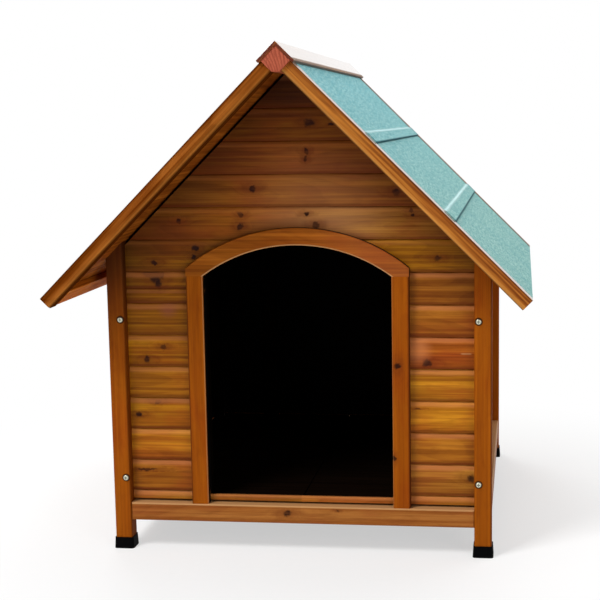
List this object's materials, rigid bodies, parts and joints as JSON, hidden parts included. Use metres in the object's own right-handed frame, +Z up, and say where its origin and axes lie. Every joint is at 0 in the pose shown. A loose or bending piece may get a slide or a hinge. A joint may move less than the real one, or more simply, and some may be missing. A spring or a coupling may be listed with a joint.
{
  "type": "dog house",
  "caption": "Wooden A-frame dog house with lapped board walls, an arched doorway, a felted pitched roof, square legs on foot caps and a loose two-part floor.",
  "frame": {"origin": "on the ground, under the middle of the ridge, at the centre of the roof's plan", "axes": "+Z up, the doorway faces -Y, the ridge runs along Y, +X to the right seen from the front"},
  "size_m": [0.96, 1.12, 1.05],
  "materials": {
    "frame_wood": "orange-brown stained fir, satin",
    "board_wood": "brown stained fir boards, satin",
    "roof_trim_wood": "orange-brown stained fir, glossy varnish",
    "beam_wood": "reddish stained fir with sawn end grain",
    "roof_deck_wood": "brown stained fir, matt",
    "inner_wood": "plain stained fir, matt",
    "roof_felt": "bitumen felt with pale blue-green mineral granules",
    "zinc_steel": "zinc plated",
    "foot_plastic": "black moulded cap, matt"
  },
  "bodies": {
    "house": {"corner_studs": "inner_wood", "door_arch_head": "frame_wood", "door_left_stile": "frame_wood", "door_right_stile": "frame_wood", "floor_cleats": "inner_wood", "floor_joist": "inner_wood", "front_board_00": "board_wood", "front_board_01": "board_wood", "front_board_02": "board_wood", "front_board_03": "board_wood", "front_board_04": "board_wood", "front_board_05": "board_wood", "front_board_06": "board_wood", "front_board_07": "board_wood", "front_board_08": "board_wood", "front_board_09": "board_wood", "front_board_10": "board_wood", "front_board_11": "board_wood", "front_board_12": "board_wood", "front_board_13": "board_wood", "front_gable_rafters": "inner_wood", "front_left_foot_cap": "foot_plastic", "front_left_leg": "frame_wood", "front_rail": "frame_wood", "front_right_foot_cap": "foot_plastic", "front_right_leg": "frame_wood", "gable_wall_studs": "inner_wood", "left_eave_batten": "roof_deck_wood", "left_front_verge_batten": "roof_trim_wood", "left_rail": "frame_wood", "left_rear_verge_batten": "roof_trim_wood", "left_ridge_cap": "roof_trim_wood", "left_roof_boards": "roof_deck_wood", "left_roof_felt": "roof_felt", "left_roof_rafters": "inner_wood", "left_wall_boards": "board_wood", "leg_bolts": "zinc_steel", "rear_gable_rafters": "inner_wood", "rear_left_foot_cap": "foot_plastic", "rear_left_leg": "frame_wood", "rear_rail": "frame_wood", "rear_right_foot_cap": "foot_plastic", "rear_right_leg": "frame_wood", "rear_wall_boards": "board_wood", "ridge_beam": "beam_wood", "right_eave_batten": "roof_deck_wood", "right_front_verge_batten": "roof_trim_wood", "right_rail": "frame_wood", "right_rear_verge_batten": "roof_trim_wood", "right_ridge_cap": "roof_trim_wood", "right_roof_boards": "roof_deck_wood", "right_roof_felt": "roof_felt", "right_roof_rafters": "inner_wood", "right_wall_boards": "board_wood", "roof_screws": "zinc_steel", "side_wall_studs": "inner_wood"},
    "floor_left": {"left_floor_battens": "inner_wood", "left_floor_boards": "inner_wood"},
    "floor_right": {"right_floor_battens": "inner_wood", "right_floor_boards": "inner_wood"}
  },
  "joints": [
    {"name": "floor_left_lift", "type": "slide", "parent": "house", "child": "floor_left", "axis": [0, 0, 1], "range_m": [0, 0.15]},
    {"name": "floor_right_lift", "type": "slide", "parent": "house", "child": "floor_right", "axis": [0, 0, 1], "range_m": [0, 0.15]}
  ]
}
